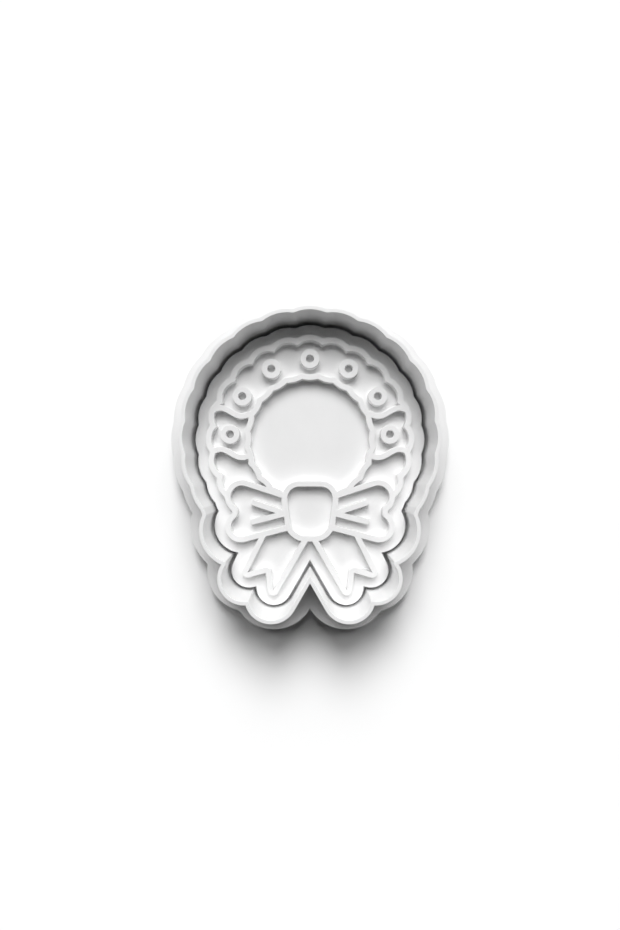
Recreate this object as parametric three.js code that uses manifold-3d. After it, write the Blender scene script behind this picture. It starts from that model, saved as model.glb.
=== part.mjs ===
// Cookie cutter with stamp: a wreath tied with a bow.
//
// Two loose pieces share one outline. The cutter is a thin blade standing on a flat flange.
// The stamp is a plate with raised ribs and berries, and it lies inside the blade, face up.
// Millimetres, Z up, with the origin under the middle of the flange.
import * as THREE from "three";
import Module from "manifold-3d";

const wasm = await Module();
wasm.setup();

// Heights
const BLADE_HEIGHT = 14;
const FLANGE_THICKNESS = 4;
const PLATE_THICKNESS = 4;
const RIB_HEIGHT = 2.4;

// Widths of the nested outlines, each measured outwards from the one before
const RIB_WIDTH = 1.5;
const PLATE_MARGIN = 3.2;
const STAMP_CLEARANCE = 1;
const BLADE_THICKNESS = 1;
const FLANGE_WIDTH = 4.6;

// Wreath: a scalloped rib outside, a scalloped rib round the hole, and berries between them
const WREATH_Y = 6.85;
const SCALLOPS = 24;
const WREATH_RADIUS = 27.75;
const WREATH_SCALLOP_RADIUS = 6;
const HOLE_RADIUS = 15.65;
const HOLE_SCALLOP_RADIUS = 8;
const BERRIES = 7;
const BERRY_SPACING = THREE.MathUtils.degToRad(28.9);
const BERRY_RING_RADIUS = 21.3;
const BERRY_DIAMETER = 5.1;
const BERRY_HOLE_DIAMETER = 2.1;

// Wavy ribs across the wreath, two on each side, with heights above the wreath's centre
const WAVE_HEIGHTS = [7.15, -3.8];
const WAVE_CREST_X = -23.8;
const WAVE_HALF_LENGTH = 5.7;
const WAVE_RISE = 1.1;

// Bow: pegs on the left half, each with the radius of the rib's inside edge where it bends round the peg
const LOOP_TOP = { x: -18.1, y: -8.5, r: 3 };
const LOOP_BOTTOM = { x: -18.35, y: -16.4, r: 2.7 };
const LOOP_ROOT_TOP = { x: -4, y: -9.97, r: 0 };
const LOOP_ROOT_BOTTOM = { x: -4, y: -15.45, r: 0 };
const LOOP_DIMPLE_RADIUS = 0.7;
const KNOT_TOP = { x: -2.85, y: -9, r: 3.2 };
const KNOT_BOTTOM = { x: -1.2, y: -14.85, r: 4.05 };
const TAIL_ROOT_OUTER = { x: -10.2, y: -15.9, r: 0 };
const TAIL_TIP_OUTER = { x: -16.5, y: -28.5, r: 0 };
const TAIL_NOTCH = { x: -11.8, y: -28.7 };
const TAIL_TIP_INNER = { x: -9.75, y: -33.2, r: 0 };
const TAIL_ROOT_INNER = { x: -1, y: -18.1, r: 0 };
const CREASES = [
  { end: { x: -15.5, y: -9.9 }, root: { x: -6, y: -13.1 } },
  { end: { x: -15.7, y: -15.3 }, root: { x: -6, y: -12.8 } },
];

// Fineness of the curves
const ARC_STEP = THREE.MathUtils.degToRad(7.5);
const SCALLOP_STEPS = 6;
const WAVE_STEPS = 20;
const BERRY_STEPS = 40;
const TINY = 1e-6;

// Finish
const WHITE = 0xf2f2f0;
const MATTE = 0.55;

// Outline margins from the outer edge of the ribs, and the height of the rib tops
const BLADE_INSIDE = PLATE_MARGIN + STAMP_CLEARANCE;
const BLADE_OUTSIDE = BLADE_INSIDE + BLADE_THICKNESS;
const FLANGE_EDGE = BLADE_OUTSIDE + FLANGE_WIDTH;
const RIB_TOP = PLATE_THICKNESS + RIB_HEIGHT;
const HALF_RIB = RIB_WIDTH / 2;

// Heading of the straight run from one peg to the next, for a belt that keeps the pegs on its left.
// A peg with a negative radius lies outside the belt, which dips round it.
function heading(from, to) {
  const across = to.x - from.x;
  const up = to.y - from.y;
  const swing = (to.r - from.r) / Math.hypot(across, up);
  return Math.atan2(up, across) - Math.asin(THREE.MathUtils.clamp(swing, -1, 1));
}

// Point where a belt with this heading touches a peg
function touch(peg, angle) {
  return new THREE.Vector2(peg.x + peg.r * Math.sin(angle), peg.y - peg.r * Math.cos(angle));
}

// Closed outline of a belt round pegs listed anticlockwise, after every peg has grown by a margin
function belt(pegs, margin) {
  const grown = pegs.map((peg) => ({ ...peg, r: peg.r + margin }));
  const turns = grown.map((peg, i) => heading(peg, grown[(i + 1) % grown.length]));
  const points = grown.flatMap((peg, i) => {
    const arriving = turns.at(i - 1);
    const sharp = Math.abs(peg.r) < TINY;
    const sweep = sharp ? 0 : turnBetween(arriving, turns[i], Math.sign(peg.r));
    const steps = Math.ceil(Math.abs(sweep) / ARC_STEP);
    return Array.from({ length: steps + 1 }, (_, k) => touch(peg, arriving + (sweep * k) / (steps || 1)));
  });
  return points.filter((point, i) => point.distanceTo(points.at(i - 1)) > TINY);
}

// Turn from one heading to another, to the left for side 1 and to the right for side -1
function turnBetween(from, to, side) {
  const turn = THREE.MathUtils.euclideanModulo(side * (to - from), 2 * Math.PI);
  const closed = 2 * Math.PI - turn < TINY;
  return closed ? 0 : side * turn;
}

// Closed scalloped outline round the wreath's centre, grown outwards by a margin.
// The scallops bulge outwards for side 1 and towards the hole for side -1.
function scallops(crown, radius, side, margin) {
  const centres = crown - side * radius;
  const pitch = (2 * Math.PI) / SCALLOPS;
  return Array.from({ length: SCALLOPS * SCALLOP_STEPS }, (_, i) => {
    const around = ((i % SCALLOP_STEPS) / SCALLOP_STEPS - 0.5) * pitch;
    const arc = Math.sqrt((radius + side * margin) ** 2 - (centres * Math.sin(around)) ** 2);
    const reach = centres * Math.cos(around) + side * arc;
    const angle = Math.PI / 2 + Math.floor(i / SCALLOP_STEPS) * pitch + around;
    return new THREE.Vector2(reach * Math.cos(angle), WREATH_Y + reach * Math.sin(angle));
  });
}

const wreathOutline = (margin) => scallops(WREATH_RADIUS, WREATH_SCALLOP_RADIUS, 1, margin);
const holeOutline = (margin) => scallops(HOLE_RADIUS, HOLE_SCALLOP_RADIUS, -1, margin);

// Closed outline of a strip of rib width along a centreline
function strip(line) {
  const sides = [-HALF_RIB, HALF_RIB].map((offset) =>
    line.map((point, i) => {
      const along = line[Math.min(i + 1, line.length - 1)].clone().sub(line[Math.max(i - 1, 0)]);
      const across = new THREE.Vector2(-along.y, along.x).setLength(offset);
      return point.clone().add(across);
    }),
  );
  return [...sides[0], ...sides[1].reverse()];
}

// Closed circle
function circle(x, y, radius) {
  return new THREE.EllipseCurve(x, y, radius, radius).getPoints(BERRY_STEPS).slice(0, -1);
}

// The same outline on the right half
function mirrored(outline) {
  return outline.map((point) => new THREE.Vector2(-point.x, point.y)).reverse();
}

// Upright solid of an anticlockwise outline between two heights
function prism(outline, bottom, top) {
  const count = outline.length;
  const lid = THREE.ShapeUtils.triangulateShape(outline, []);
  const walls = outline.flatMap((_, i) => {
    const next = (i + 1) % count;
    return [i, next, next + count, i, next + count, i + count];
  });
  const floor = lid.flatMap(([first, second, third]) => [third, second, first]);
  const roof = lid.flat().map((corner) => corner + count);
  const points = [bottom, top].flatMap((height) => outline.flatMap(({ x, y }) => [x, y, height]));
  return new wasm.Manifold(
    new wasm.Mesh({
      numProp: 3,
      vertProperties: new Float32Array(points),
      triVerts: new Uint32Array([...floor, ...walls, ...roof]),
    }),
  );
}

const join = (solids) => solids.reduce((sum, solid) => sum.add(solid));
const cut = (solid, tools) => tools.reduce((rest, tool) => rest.subtract(tool), solid);
const bothSides = (outlines) => outlines.flatMap((outline) => [outline, mirrored(outline)]);
const prisms = (outlines, bottom, top) => join(outlines.map((outline) => prism(outline, bottom, top)));

// The dimple between the two lobes of a loop is an arc that meets both of them smoothly
function loopDimple() {
  const radius = RIB_WIDTH + LOOP_DIMPLE_RADIUS;
  const down = LOOP_BOTTOM.y - LOOP_TOP.y;
  const across = LOOP_BOTTOM.x - LOOP_TOP.x;
  const apart = Math.hypot(across, down);
  const toTop = LOOP_TOP.r + radius;
  const toBottom = LOOP_BOTTOM.r + radius;
  const along = (apart ** 2 + toTop ** 2 - toBottom ** 2) / (2 * apart);
  const out = Math.sqrt(toTop ** 2 - along ** 2);
  return {
    x: LOOP_TOP.x + (across * along + down * out) / apart,
    y: LOOP_TOP.y + (down * along - across * out) / apart,
    r: -radius,
  };
}

const LOOP = [LOOP_ROOT_TOP, LOOP_TOP, loopDimple(), LOOP_BOTTOM, LOOP_ROOT_BOTTOM];
const NOTCH = { ...TAIL_NOTCH, r: -RIB_WIDTH };
const TAIL = [TAIL_ROOT_OUTER, TAIL_TIP_OUTER, NOTCH, TAIL_TIP_INNER, TAIL_ROOT_INNER];
const toRight = (peg) => ({ ...peg, x: -peg.x });
const KNOT = [KNOT_TOP, KNOT_BOTTOM, toRight(KNOT_BOTTOM), toRight(KNOT_TOP)];
const BETWEEN_TAILS = [
  TAIL_ROOT_OUTER,
  TAIL_TIP_INNER,
  toRight(TAIL_TIP_INNER),
  toRight(TAIL_ROOT_OUTER),
];

// Convex pieces that together fill the left half of the bow, for outlines wider than the ribs.
// The two points of a tail are each cut straight to the notch.
function bowPieces() {
  const peg = (point) => ({ x: point.x, y: point.y, r: 0 });
  const cutOuter = peg(touch(NOTCH, heading(TAIL_TIP_OUTER, NOTCH)));
  const cutInner = peg(touch(NOTCH, heading(NOTCH, TAIL_TIP_INNER)));
  return [
    [LOOP_ROOT_TOP, LOOP_TOP, LOOP_ROOT_BOTTOM],
    [LOOP_ROOT_TOP, LOOP_BOTTOM, LOOP_ROOT_BOTTOM],
    [TAIL_ROOT_OUTER, TAIL_TIP_OUTER, cutOuter, TAIL_ROOT_INNER],
    [TAIL_ROOT_OUTER, cutInner, TAIL_TIP_INNER, TAIL_ROOT_INNER],
  ];
}

// Solid of the whole outline, a margin wider than the outer edge of the ribs
function silhouette(margin, bottom, top) {
  const bow = bowPieces().map((pegs) => belt(pegs, RIB_WIDTH + margin));
  return prisms([wreathOutline(margin), ...bothSides(bow)], bottom, top);
}

// Ribs of the wreath, both rings and the waves between them
function wreathRibs() {
  const raised = (outline) => prism(outline, 0, RIB_TOP);
  const outerRing = cut(raised(wreathOutline(0)), [raised(wreathOutline(-RIB_WIDTH))]);
  const holeRing = cut(raised(holeOutline(RIB_WIDTH)), [raised(holeOutline(0))]);
  const band = cut(raised(wreathOutline(-HALF_RIB)), [raised(holeOutline(HALF_RIB))]);
  const waves = prisms(bothSides(WAVE_HEIGHTS.map(waveOutline)), 0, RIB_TOP).intersect(band);
  return join([outerRing, holeRing, waves]);
}

function waveOutline(height) {
  const line = Array.from({ length: WAVE_STEPS + 1 }, (_, i) => {
    const x = THREE.MathUtils.lerp(-WREATH_RADIUS, -HOLE_RADIUS, i / WAVE_STEPS);
    const swing = Math.cos((Math.PI * (x - WAVE_CREST_X)) / WAVE_HALF_LENGTH);
    return new THREE.Vector2(x, WREATH_Y + height + WAVE_RISE * swing);
  });
  return strip(line);
}

function berries() {
  const places = Array.from({ length: BERRIES }, (_, i) => (i - (BERRIES - 1) / 2) * BERRY_SPACING);
  return places.map((angle) => {
    const x = BERRY_RING_RADIUS * Math.sin(angle);
    const y = WREATH_Y + BERRY_RING_RADIUS * Math.cos(angle);
    const post = prism(circle(x, y, BERRY_DIAMETER / 2), 0, RIB_TOP);
    return cut(post, [prism(circle(x, y, BERRY_HOLE_DIAMETER / 2), 0, RIB_TOP)]);
  });
}

// The rib that follows a ring of pegs, as outlines of its outside and its inside
function beltRibs(pegs) {
  const outside = prisms(bothSides([belt(pegs, RIB_WIDTH)]), 0, RIB_TOP);
  return cut(outside, [prisms(bothSides([belt(pegs, 0)]), 0, RIB_TOP)]);
}

// The area that such a rib surrounds, up to the middle of the rib
function beltFill(pegs) {
  return prisms(bothSides([belt(pegs, HALF_RIB)]), 0, RIB_TOP);
}

// Every raised rib. The knot lies over the loops, the loops over the tails and the bow over the wreath.
function relief() {
  const knotFill = beltFill(KNOT);
  const loopFill = beltFill(LOOP);
  const tailFill = beltFill(TAIL).add(beltFill(BETWEEN_TAILS));
  const creaseLines = CREASES.map(({ end, root }) => [end, root].map(({ x, y }) => new THREE.Vector2(x, y)));
  const creases = prisms(bothSides(creaseLines.map(strip)), 0, RIB_TOP);
  return join([
    beltRibs(KNOT),
    cut(beltRibs(LOOP).add(creases), [knotFill]),
    cut(beltRibs(TAIL), [knotFill, loopFill]),
    cut(wreathRibs(), [knotFill, loopFill, tailFill]),
    ...berries(),
  ]);
}

function stampSolid() {
  return silhouette(PLATE_MARGIN, 0, PLATE_THICKNESS).add(relief());
}

function cutterSolid() {
  const blade = silhouette(BLADE_OUTSIDE, 0, BLADE_HEIGHT);
  const flange = silhouette(FLANGE_EDGE, 0, FLANGE_THICKNESS);
  return cut(blade.add(flange), [silhouette(BLADE_INSIDE, 0, BLADE_HEIGHT)]);
}

function piece(name, solid) {
  const { vertProperties, triVerts } = solid.getMesh();
  const geometry = new THREE.BufferGeometry();
  geometry.setAttribute("position", new THREE.BufferAttribute(vertProperties, 3));
  geometry.setIndex(new THREE.BufferAttribute(triVerts, 1));
  geometry.computeVertexNormals();
  const material = new THREE.MeshStandardMaterial({ color: WHITE, roughness: MATTE, metalness: 0 });
  const mesh = new THREE.Mesh(geometry, material);
  mesh.name = name;
  return mesh;
}

const FLANGE_TOP_Y = WREATH_Y + WREATH_RADIUS + FLANGE_EDGE;
const FLANGE_BOTTOM_Y = TAIL_TIP_INNER.y - RIB_WIDTH - FLANGE_EDGE;

const cookieCutter = new THREE.Group();
cookieCutter.add(piece("cutter", cutterSolid()));
cookieCutter.add(piece("stamp", stampSolid()));
cookieCutter.position.y = -(FLANGE_TOP_Y + FLANGE_BOTTOM_Y) / 2;

export default cookieCutter;
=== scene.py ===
"""Cookie cutter with stamp: a wreath tied with a bow, printed in matte white plastic.

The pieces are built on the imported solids, in metres and in the same frame.
"""
import math
from typing import NamedTuple

import bmesh
import bpy
from mathutils import Matrix, Vector


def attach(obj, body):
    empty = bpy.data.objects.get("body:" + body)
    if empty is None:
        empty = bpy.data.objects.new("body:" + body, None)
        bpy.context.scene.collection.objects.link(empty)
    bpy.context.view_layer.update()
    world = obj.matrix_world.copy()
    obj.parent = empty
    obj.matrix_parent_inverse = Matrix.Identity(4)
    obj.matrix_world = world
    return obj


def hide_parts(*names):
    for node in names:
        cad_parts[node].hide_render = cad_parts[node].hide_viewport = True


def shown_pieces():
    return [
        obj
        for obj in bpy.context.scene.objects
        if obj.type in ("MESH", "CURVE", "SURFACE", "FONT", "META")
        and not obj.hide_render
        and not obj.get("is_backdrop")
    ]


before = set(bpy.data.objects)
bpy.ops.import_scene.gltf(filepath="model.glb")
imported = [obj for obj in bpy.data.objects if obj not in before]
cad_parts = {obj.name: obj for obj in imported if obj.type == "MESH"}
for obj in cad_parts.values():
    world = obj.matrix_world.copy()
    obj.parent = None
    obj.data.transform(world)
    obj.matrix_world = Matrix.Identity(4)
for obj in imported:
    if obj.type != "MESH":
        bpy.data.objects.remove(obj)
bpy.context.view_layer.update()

bl_info = {
    "name": "Wreath Cookie Cutter",
    "version": (1, 0, 0),
    "blender": (4, 5, 0),
    "location": "View3D > Sidebar > Cookie Cutter",
    "description": "Builds a wreath cookie cutter and its stamp on their packed solids, on a pale floor",
    "category": "Object",
}

# Corners closer than this are one corner
WELD = 2e-6
# Faces that meet at less than this lie in one plane
FLAT_ANGLE = math.radians(0.5)
# Level edges that turn by more than this are rounded, in so many steps
CORNER_ANGLE = math.radians(50)
ROUNDING_STEPS = 3
# Other edges that turn by more than this keep a crisp crease
CREASE_ANGLE = math.radians(13.6)

# Scales of the noise, in waves per metre
CLOUD_SCALE = 90.0
TOOTH_SCALE = 2600.0
FLOOR_TOOTH_SCALE = 300.0
# Noise seldom leaves this band
NOISE_BAND = (0.3, 0.7)
# How far the tooth takes the plastic's roughness either way
ROUGHNESS_SWING = 0.06
# Depth of the tooth as a share of the printed lines'
TOOTH_SHARE = 0.6

# Length of one wave in a wave texture of scale 1
WAVE_LENGTH = math.tau / 20
# Wobble of the printed layers and of the printed lines
LAYER_WOBBLE = 0.6
LINE_WOBBLE = 0.4
# The printed lines cross the level faces aslant
LINE_TURN = math.radians(45)

FLOOR_CELLS = 8
FLOOR_ROUGHNESS = (0.8, 0.9)
FLOOR_SPECULAR = 0.2
NEAREST_SEEN = 0.001


class Lamp(NamedTuple):
    """Soft lamp, or a mirrored pair: its turns are counted from the top of the wreath, all in degrees"""

    turns: tuple
    elevation: float
    spread: float


# The stage has a strength for each of these
CUTTER_LAMPS = {
    "key": Lamp((0,), 50, 45),
    "low_key": Lamp((0,), 38, 30),
    "wing": Lamp((40, -40), 40, 30),
    "side": Lamp((80, -80), 16, 30),
    "front": Lamp((180,), 24, 30),
}
FLOOR_LAMPS = {
    "floor_key": Lamp((0,), 38, 30),
    "floor_low": Lamp((0,), 26, 30),
    "floor_wing": Lamp((40, -40), 38, 30),
    "floor_front": Lamp((180,), 40, 30),
}


class PlasticLook(bpy.types.PropertyGroup):
    """Colour and grain of the printed plastic"""

    colour: bpy.props.FloatVectorProperty(
        name="Colour",
        description="Main colour of the plastic",
        default=(0.9, 0.9, 0.9),
        min=0.0,
        max=1.0,
        subtype="COLOR",
    )
    shade: bpy.props.FloatVectorProperty(
        name="Shade",
        description="Slightly deeper tone of the plastic's soft clouds",
        default=(0.87, 0.87, 0.87),
        min=0.0,
        max=1.0,
        subtype="COLOR",
    )
    roughness: bpy.props.FloatProperty(
        name="Roughness",
        description="Mean roughness of the matte surface",
        default=0.55,
        min=0.0,
        max=1.0,
        subtype="FACTOR",
    )
    layer_height: bpy.props.FloatProperty(
        name="Layer height",
        description="Height of one printed layer, seen as fine lines round the upright walls",
        default=0.0002,
        min=0.00005,
        unit="LENGTH",
    )
    line_width: bpy.props.FloatProperty(
        name="Line width",
        description="Width of one printed line, seen as a fine hatch on the level faces",
        default=0.00042,
        min=0.0001,
        unit="LENGTH",
    )
    line_depth: bpy.props.FloatProperty(
        name="Line depth",
        description="Depth of the grooves between printed layers and lines",
        default=0.000004,
        min=0.0,
        unit="LENGTH",
    )


class CutterFinish(bpy.types.PropertyGroup):
    """Edges of the cutter"""

    edge_radius: bpy.props.FloatProperty(
        name="Edge radius",
        description="Rounding of the blade's rim and the flange's outer edge",
        default=0.00012,
        min=0.0,
        max=0.0004,
        unit="LENGTH",
    )


class StampFinish(bpy.types.PropertyGroup):
    """Edges of the stamp"""

    edge_radius: bpy.props.FloatProperty(
        name="Edge radius",
        description="Rounding of the plate's edge, the ribs and the berries",
        default=0.00012,
        min=0.0,
        max=0.0004,
        unit="LENGTH",
    )


class StudioStage(bpy.types.PropertyGroup):
    """Floor, light and camera"""

    floor_colour: bpy.props.FloatVectorProperty(
        name="Floor colour",
        description="Colour of the studio floor",
        default=(0.92, 0.92, 0.92),
        min=0.0,
        max=1.0,
        subtype="COLOR",
    )
    floor_reach: bpy.props.FloatProperty(
        name="Floor reach",
        description="Half the width of the floor",
        default=2.0,
        min=0.5,
        unit="LENGTH",
    )
    key_strength: bpy.props.FloatProperty(
        name="Key strength",
        description="Strength of the broad key light from beyond the top of the wreath",
        default=2.1,
        min=0.0,
    )
    low_key_strength: bpy.props.FloatProperty(
        name="Low key strength",
        description="Strength of the lower light under the key, which draws out the ribs' shadows",
        default=0.87,
        min=0.0,
    )
    wing_strength: bpy.props.FloatProperty(
        name="Wing strength",
        description="Strength of each of the two lights on either side of the key",
        default=0.28,
        min=0.0,
    )
    side_strength: bpy.props.FloatProperty(
        name="Side strength",
        description="Strength of each of the two low lights beside the cutter, which lift its walls",
        default=0.56,
        min=0.0,
    )
    front_strength: bpy.props.FloatProperty(
        name="Front strength",
        description="Strength of the light in front of the bow, which opens the shadows on the cutter",
        default=0.14,
        min=0.0,
    )
    floor_key_strength: bpy.props.FloatProperty(
        name="Floor key strength",
        description="Strength of the light that washes the floor white",
        default=3.24,
        min=0.0,
    )
    floor_low_strength: bpy.props.FloatProperty(
        name="Floor low strength",
        description="Strength of the low light that draws out the floor's shadow",
        default=1.37,
        min=0.0,
    )
    floor_wing_strength: bpy.props.FloatProperty(
        name="Floor wing strength",
        description="Strength of each of the two lights that soften the floor's shadow at its sides",
        default=0.67,
        min=0.0,
    )
    floor_front_strength: bpy.props.FloatProperty(
        name="Floor front strength",
        description="Strength of the light in front of the bow, which opens the shadow on the floor",
        default=0.13,
        min=0.0,
    )
    camera_height: bpy.props.FloatProperty(
        name="Camera height",
        description="Height of the camera, which looks straight down on the middle of the cutter",
        default=0.135,
        min=0.05,
        unit="LENGTH",
    )
    lens: bpy.props.FloatProperty(
        name="Lens",
        description="Focal length on a 36 mm frame",
        default=18.763,
        min=1.0,
        unit="CAMERA",
    )


class WreathCutterSettings(bpy.types.PropertyGroup):
    """Everything that a user would change"""

    plastic: bpy.props.PointerProperty(type=PlasticLook)
    cutter: bpy.props.PointerProperty(type=CutterFinish)
    stamp: bpy.props.PointerProperty(type=StampFinish)
    stage: bpy.props.PointerProperty(type=StudioStage)


def add_node(tree, kind, sockets=None, **options):
    """New shader node with its options set, and each named socket given a value or a link"""
    node = tree.nodes.new(kind)
    for option, value in options.items():
        setattr(node, option, value)
    for socket, value in (sockets or {}).items():
        if isinstance(value, bpy.types.NodeSocket):
            tree.links.new(value, node.inputs[socket])
        else:
            node.inputs[socket].default_value = value
    return node


def new_material(name):
    """Empty material, its node tree and its shader"""
    material = bpy.data.materials.new(name)
    material.use_nodes = True
    tree = material.node_tree
    return material, tree, tree.nodes["Principled BSDF"]


def cloudy_colour(tree, place, look):
    """Colour that drifts softly between the plastic's two tones"""
    clouds = add_node(
        tree,
        "ShaderNodeTexNoise",
        {"Vector": place, "Scale": CLOUD_SCALE, "Detail": 4.0, "Roughness": 0.6},
    )
    tone = add_node(tree, "ShaderNodeValToRGB", {"Fac": clouds.outputs["Fac"]})
    for stop, position, colour in zip(tone.color_ramp.elements, NOISE_BAND, (look.shade, look.colour)):
        stop.position = position
        stop.color = (*colour, 1.0)
    return tone.outputs["Color"]


def bands(tree, vector, direction, length, wobble):
    """Fine sine waves along one axis"""
    wave = add_node(
        tree,
        "ShaderNodeTexWave",
        {"Vector": vector, "Scale": WAVE_LENGTH / length, "Distortion": wobble, "Detail": 1.0},
        wave_type="BANDS",
        bands_direction=direction,
    )
    return wave.outputs["Fac"]


def printed_lines(tree, place, look):
    """Height of the print's surface: layers up the walls, and lines across the level faces"""
    layers = bands(tree, place, "Z", look.layer_height, LAYER_WOBBLE)
    turned = add_node(tree, "ShaderNodeMapping", {"Vector": place, "Rotation": (0.0, 0.0, LINE_TURN)})
    lines = bands(tree, turned.outputs["Vector"], "X", look.line_width, LINE_WOBBLE)
    normal = tree.nodes.new("ShaderNodeNewGeometry").outputs["Normal"]
    facing = add_node(tree, "ShaderNodeSeparateXYZ", {"Vector": normal})
    level = add_node(tree, "ShaderNodeMath", {0: facing.outputs["Z"]}, operation="ABSOLUTE")
    height = add_node(
        tree,
        "ShaderNodeMath",
        {0: lines, 1: level.outputs["Value"], 2: layers},
        operation="MULTIPLY_ADD",
    )
    return height.outputs["Value"]


def printed_plastic(look):
    """Matte white plastic with soft clouds, a fine tooth, and the lines of the print"""
    name = "white_print"
    if name in bpy.data.materials:
        return bpy.data.materials[name]
    material, tree, shader = new_material(name)
    place = tree.nodes.new("ShaderNodeTexCoord").outputs["Object"]
    tree.links.new(cloudy_colour(tree, place, look), shader.inputs["Base Color"])

    tooth = add_node(
        tree,
        "ShaderNodeTexNoise",
        {"Vector": place, "Scale": TOOTH_SCALE, "Detail": 3.0, "Roughness": 0.55},
    )
    matte = add_node(
        tree,
        "ShaderNodeMapRange",
        {
            "Value": tooth.outputs["Fac"],
            "From Min": NOISE_BAND[0],
            "From Max": NOISE_BAND[1],
            "To Min": look.roughness - ROUGHNESS_SWING,
            "To Max": look.roughness + ROUGHNESS_SWING,
        },
    )
    tree.links.new(matte.outputs["Result"], shader.inputs["Roughness"])

    grooves = add_node(
        tree,
        "ShaderNodeBump",
        {"Strength": 1.0, "Distance": look.line_depth, "Height": printed_lines(tree, place, look)},
    )
    grain = add_node(
        tree,
        "ShaderNodeBump",
        {
            "Strength": TOOTH_SHARE,
            "Distance": look.line_depth,
            "Height": tooth.outputs["Fac"],
            "Normal": grooves.outputs["Normal"],
        },
    )
    tree.links.new(grain.outputs["Normal"], shader.inputs["Normal"])
    return material


def floor_paint(stage):
    """Pale matte floor with a barely visible tooth"""
    material, tree, shader = new_material("pale_floor")
    place = tree.nodes.new("ShaderNodeTexCoord").outputs["Object"]
    tooth = add_node(
        tree,
        "ShaderNodeTexNoise",
        {"Vector": place, "Scale": FLOOR_TOOTH_SCALE, "Detail": 3.0},
    )
    matte = add_node(
        tree,
        "ShaderNodeMapRange",
        {"Value": tooth.outputs["Fac"], "To Min": FLOOR_ROUGHNESS[0], "To Max": FLOOR_ROUGHNESS[1]},
    )
    tree.links.new(matte.outputs["Result"], shader.inputs["Roughness"])
    shader.inputs["Base Color"].default_value = (*stage.floor_colour, 1.0)
    shader.inputs["Specular IOR Level"].default_value = FLOOR_SPECULAR
    return material


def softened_solid(node, name, radius):
    """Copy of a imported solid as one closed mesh, with its outer corners rounded"""
    shape = bmesh.new()
    shape.from_mesh(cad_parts[node].data)
    bmesh.ops.remove_doubles(shape, verts=shape.verts, dist=WELD)
    bmesh.ops.dissolve_limit(shape, angle_limit=FLAT_ANGLE, verts=shape.verts, edges=shape.edges)
    for face in shape.faces:
        face.smooth = True
    for edge in shape.edges:
        edge.smooth = edge.calc_face_angle() < CREASE_ANGLE
    corners = [edge for edge in shape.edges if edge.is_convex and edge.calc_face_angle() > CORNER_ANGLE]
    level = [edge for edge in corners if abs(edge.verts[0].co.z - edge.verts[1].co.z) < WELD]
    for edge in level:
        edge.smooth = True
    bmesh.ops.bevel(
        shape,
        geom=level,
        offset=radius,
        offset_type="OFFSET",
        segments=ROUNDING_STEPS,
        profile=0.5,
        affect="EDGES",
        material=-1,
    )
    mesh = bpy.data.meshes.new(name)
    shape.to_mesh(mesh)
    shape.free()
    return mesh


def add_piece(name, mesh, body, node):
    """Object of a finished piece that rides on a body and stands for its solid"""
    piece = bpy.data.objects.new(name, mesh)
    bpy.context.scene.collection.objects.link(piece)
    mesh.materials.append(printed_plastic(bpy.context.scene.wreath_cutter.plastic))
    even = piece.modifiers.new("even_shading", "WEIGHTED_NORMAL")
    even.mode = "FACE_AREA"
    even.keep_sharp = True
    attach(piece, body)
    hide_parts(node)


class BuildCutter(bpy.types.Operator):
    """Build the blade and its flange"""

    bl_idname = "wreath_cutter.build_cutter"
    bl_label = "Build Cutter"
    bl_options = {"REGISTER", "UNDO"}

    def execute(self, context):
        finish = context.scene.wreath_cutter.cutter
        mesh = softened_solid("cutter", "blade_and_flange", finish.edge_radius)
        add_piece("blade_and_flange", mesh, "cutter", "cutter")
        return {"FINISHED"}


class BuildStamp(bpy.types.Operator):
    """Build the stamp's plate with its ribs and berries"""

    bl_idname = "wreath_cutter.build_stamp"
    bl_label = "Build Stamp"
    bl_options = {"REGISTER", "UNDO"}

    def execute(self, context):
        finish = context.scene.wreath_cutter.stamp
        mesh = softened_solid("stamp", "ribbed_plate", finish.edge_radius)
        add_piece("ribbed_plate", mesh, "stamp", "stamp")
        return {"FINISHED"}


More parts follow.
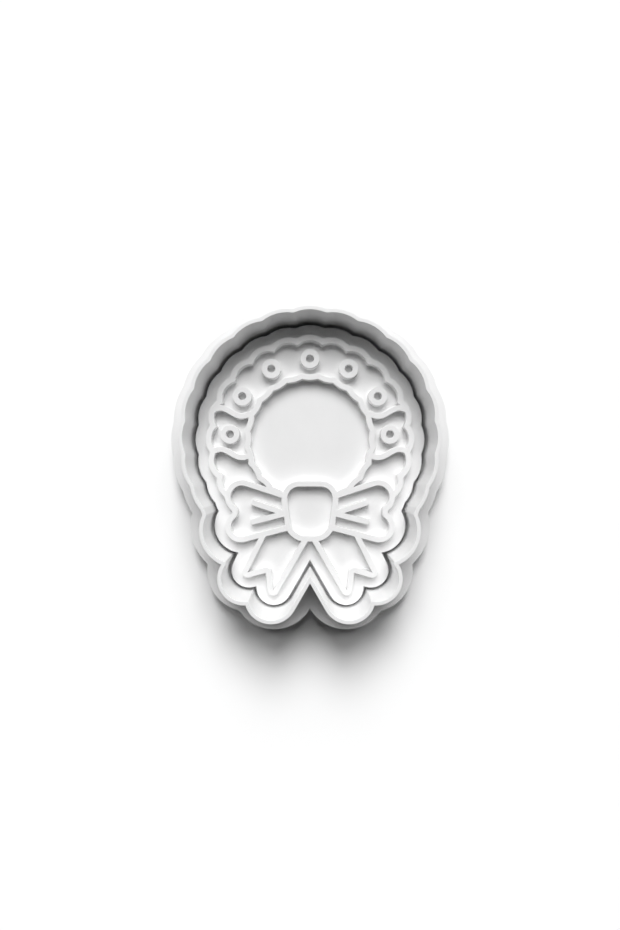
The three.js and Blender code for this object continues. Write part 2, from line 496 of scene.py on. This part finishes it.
class SetStage(bpy.types.Operator):
    """Set the pale floor, the soft light and the camera"""

    bl_idname = "wreath_cutter.set_stage"
    bl_label = "Set Stage"
    bl_options = {"REGISTER", "UNDO"}

    def execute(self, context):
        scene = context.scene
        stage = scene.wreath_cutter.stage
        floor = self.lay_floor(scene, stage)
        self.light(scene, stage, floor)
        self.place_camera(scene, stage)
        scene.view_settings.view_transform = "Standard"
        return {"FINISHED"}

    def lay_floor(self, scene, stage):
        shape = bmesh.new()
        bmesh.ops.create_grid(shape, x_segments=FLOOR_CELLS, y_segments=FLOOR_CELLS, size=stage.floor_reach)
        mesh = bpy.data.meshes.new("studio_floor")
        shape.to_mesh(mesh)
        shape.free()
        mesh.materials.append(floor_paint(stage))
        floor = bpy.data.objects.new("studio_floor", mesh)
        scene.collection.objects.link(floor)
        floor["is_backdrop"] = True
        # The floor throws no light back on the cutter
        floor.visible_diffuse = False
        return floor

    def light(self, scene, stage, floor):
        self.add_lamps(scene, stage, CUTTER_LAMPS, self.lit_group("lit_cutter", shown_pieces()))
        self.add_lamps(scene, stage, FLOOR_LAMPS, self.lit_group("lit_floor", [floor]))
        self.hang_backdrop(scene)

    def lit_group(self, name, objects):
        group = bpy.data.collections.new(name)
        for item in objects:
            group.objects.link(item)
        return group

    def add_lamps(self, scene, stage, lamps, lit):
        """Soft even lights that fall on one group of objects only"""
        for name, lamp in lamps.items():
            data = bpy.data.lights.new(name, "SUN")
            data.energy = getattr(stage, f"{name}_strength")
            data.angle = math.radians(lamp.spread)
            for turn in lamp.turns:
                holder = bpy.data.objects.new(name, data)
                tilt = math.radians(90 - lamp.elevation)
                from_top = Vector((0.0, math.sin(tilt), math.cos(tilt)))
                away = Matrix.Rotation(math.radians(turn), 3, "Z") @ from_top
                holder.rotation_euler = away.to_track_quat("Z", "Y").to_euler()
                holder.light_linking.receiver_collection = lit
                scene.collection.objects.link(holder)

    def hang_backdrop(self, scene):
        """White all round beyond the floor, which is seen but gives no light"""
        world = bpy.data.worlds.new("white_backdrop")
        world.use_nodes = True
        tree = world.node_tree
        seen = tree.nodes.new("ShaderNodeLightPath").outputs["Is Camera Ray"]
        tree.links.new(seen, tree.nodes["Background"].inputs["Strength"])
        tree.nodes["Background"].inputs["Color"].default_value = (1.0, 1.0, 1.0, 1.0)
        scene.world = world

    def place_camera(self, scene, stage):
        data = bpy.data.cameras.new("overhead_camera")
        data.lens = stage.lens
        data.clip_start = NEAREST_SEEN
        camera = bpy.data.objects.new("overhead_camera", data)
        camera.location = (0.0, 0.0, stage.camera_height)
        scene.collection.objects.link(camera)
        scene.camera = camera


class WreathCutterPanel(bpy.types.Panel):
    """Cookie cutter's tab in the sidebar"""

    bl_idname = "VIEW3D_PT_wreath_cutter"
    bl_label = "Wreath Cookie Cutter"
    bl_space_type = "VIEW_3D"
    bl_region_type = "UI"
    bl_category = "Cookie Cutter"

    def draw(self, context):
        settings = context.scene.wreath_cutter
        sections = {
            "Plastic": (settings.plastic, None),
            "Cutter": (settings.cutter, BuildCutter),
            "Stamp": (settings.stamp, BuildStamp),
            "Stage": (settings.stage, SetStage),
        }
        for title, (group, operator) in sections.items():
            box = self.layout.box()
            box.label(text=title)
            for name in group.__annotations__:
                box.prop(group, name)
            if operator:
                box.operator(operator.bl_idname)


CLASSES = (
    PlasticLook,
    CutterFinish,
    StampFinish,
    StudioStage,
    WreathCutterSettings,
    BuildCutter,
    BuildStamp,
    SetStage,
    WreathCutterPanel,
)


def register():
    for item in CLASSES:
        bpy.utils.register_class(item)
    bpy.types.Scene.wreath_cutter = bpy.props.PointerProperty(type=WreathCutterSettings)


def unregister():
    del bpy.types.Scene.wreath_cutter
    for item in reversed(CLASSES):
        bpy.utils.unregister_class(item)


def main():
    register()
    bpy.ops.wreath_cutter.build_cutter()
    bpy.ops.wreath_cutter.build_stamp()
    bpy.ops.wreath_cutter.set_stage()


if __name__ == "__main__":
    main()
